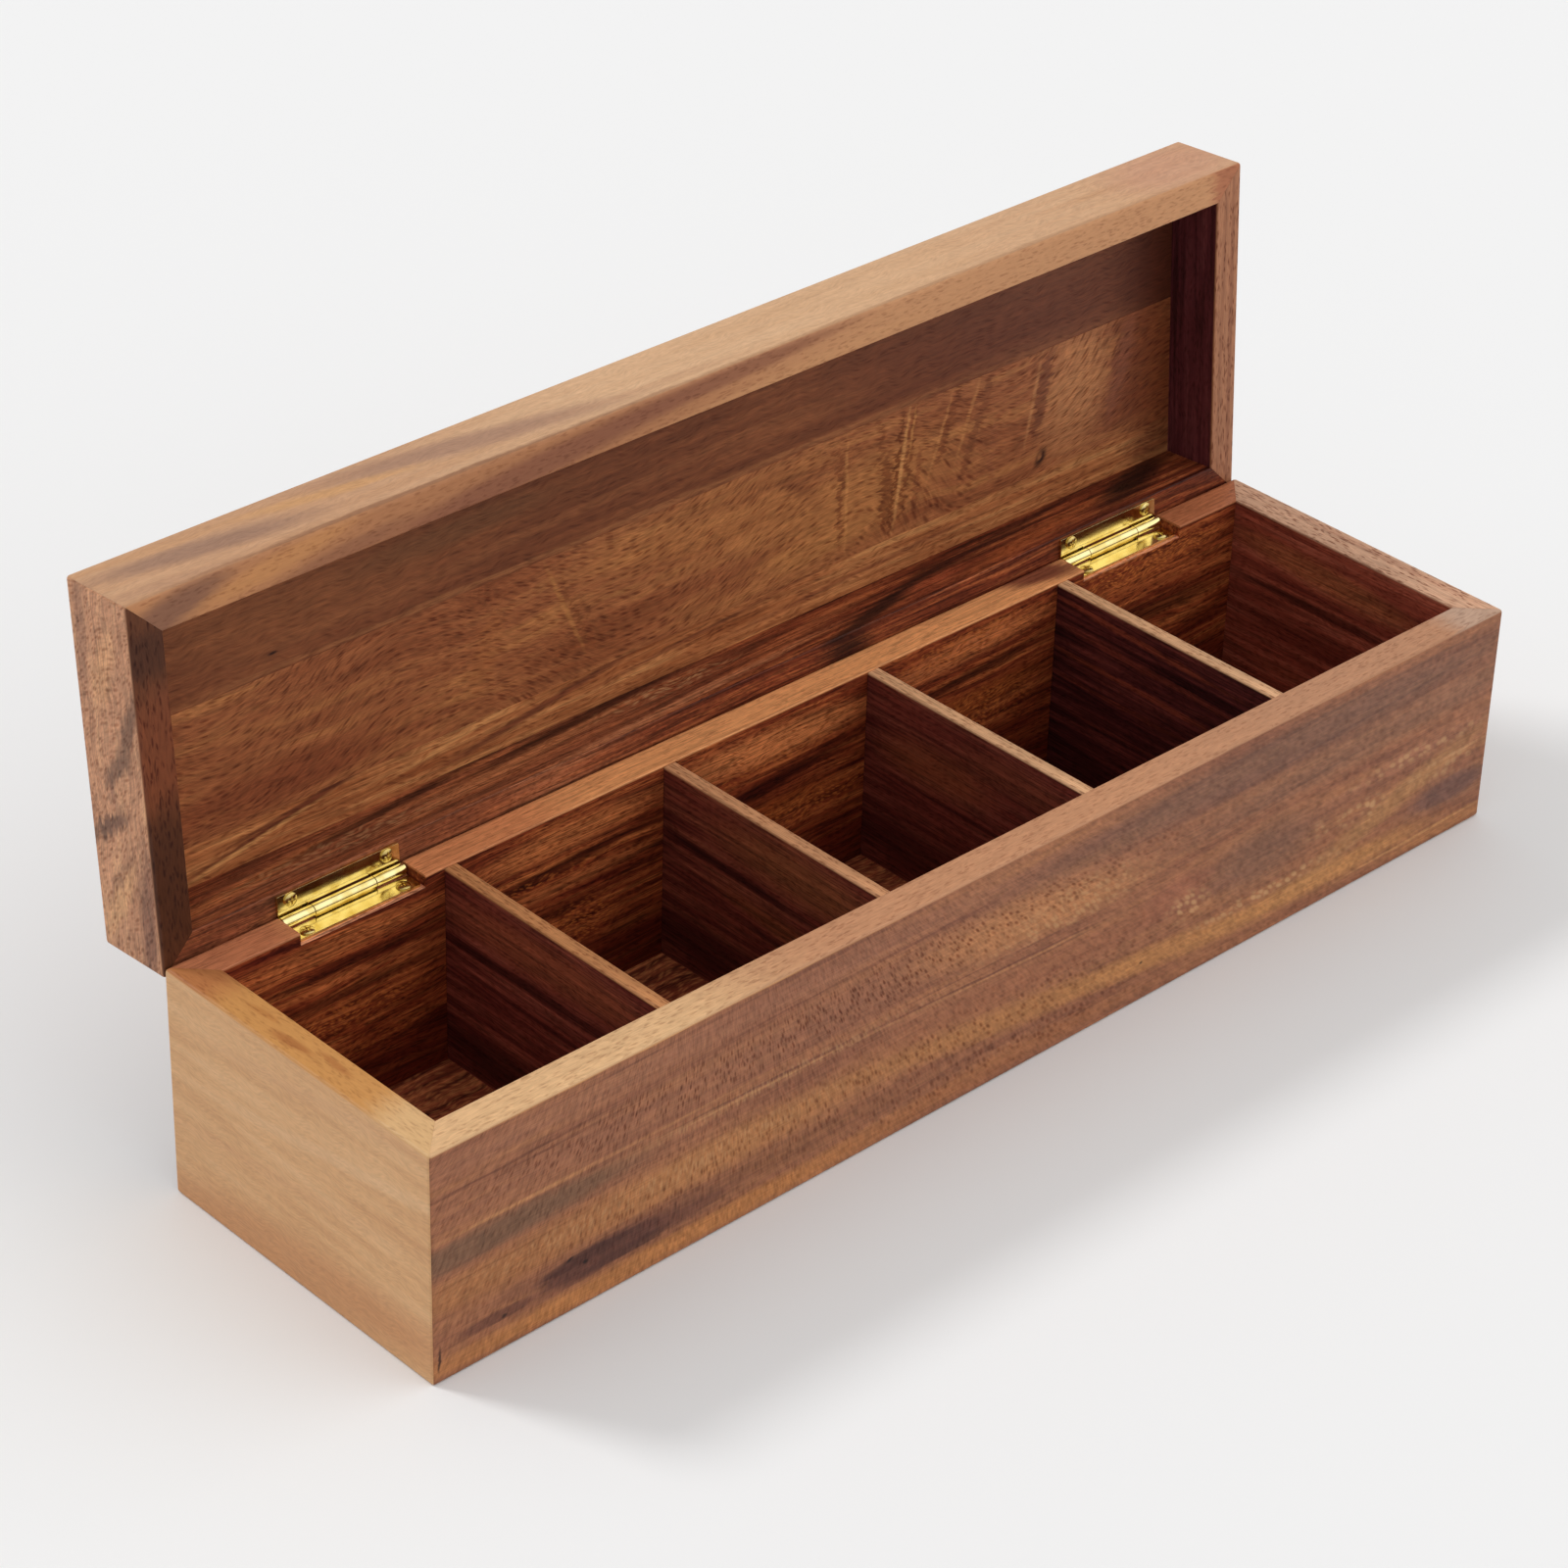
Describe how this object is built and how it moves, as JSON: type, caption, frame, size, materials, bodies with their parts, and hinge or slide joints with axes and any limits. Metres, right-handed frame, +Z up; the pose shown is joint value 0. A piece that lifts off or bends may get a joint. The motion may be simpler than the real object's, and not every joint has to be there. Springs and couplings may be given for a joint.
{
  "type": "tea bag organizer box",
  "caption": "Long mitred hardwood box with equal compartments between thin dividers and a framed lid on two small brass butt hinges.",
  "frame": {"origin": "centre of the underside of the base, on the face it rests on", "axes": "+X along the length of the box from its left end to its right end, +Y from the front to the hinged back, +Z up"},
  "size_m": [0.38, 0.1309, 0.1631],
  "materials": {
    "light_board": "oiled hardwood, light sapwood",
    "brown_board": "oiled hardwood, mid brown with darker bands",
    "dark_board": "oiled hardwood, dark reddish brown heartwood",
    "panel_board": "oiled hardwood, golden brown",
    "hinge_brass": "bright polished brass plate",
    "screw_brass": "bright brass plate"
  },
  "bodies": {
    "base": {"front_wall": "brown_board", "back_wall": "brown_board", "left_end_wall": "light_board", "right_end_wall": "light_board", "bottom_board_front": "dark_board", "bottom_board_middle": "dark_board", "bottom_board_back": "dark_board", "divider_1": "dark_board", "divider_2": "dark_board", "divider_3": "dark_board", "divider_4": "dark_board", "left_hinge_base_leaf": "hinge_brass", "left_hinge_pin": "hinge_brass", "left_hinge_base_screws": "screw_brass", "right_hinge_base_leaf": "hinge_brass", "right_hinge_pin": "hinge_brass", "right_hinge_base_screws": "screw_brass"},
    "lid": {"lid_front_rail": "light_board", "lid_back_rail": "brown_board", "lid_left_rail": "brown_board", "lid_right_rail": "brown_board", "lid_board_front": "panel_board", "lid_board_middle": "panel_board", "lid_board_back": "panel_board", "left_hinge_lid_leaf": "hinge_brass", "left_hinge_lid_screws": "screw_brass", "right_hinge_lid_leaf": "hinge_brass", "right_hinge_lid_screws": "screw_brass"}
  },
  "joints": [
    {"name": "lid_hinge", "type": "hinge", "parent": "base", "child": "lid", "pos_m": [0, 0.04831, 0.06525], "axis": [1, 0, 0], "range_deg": [0, 94]}
  ]
}
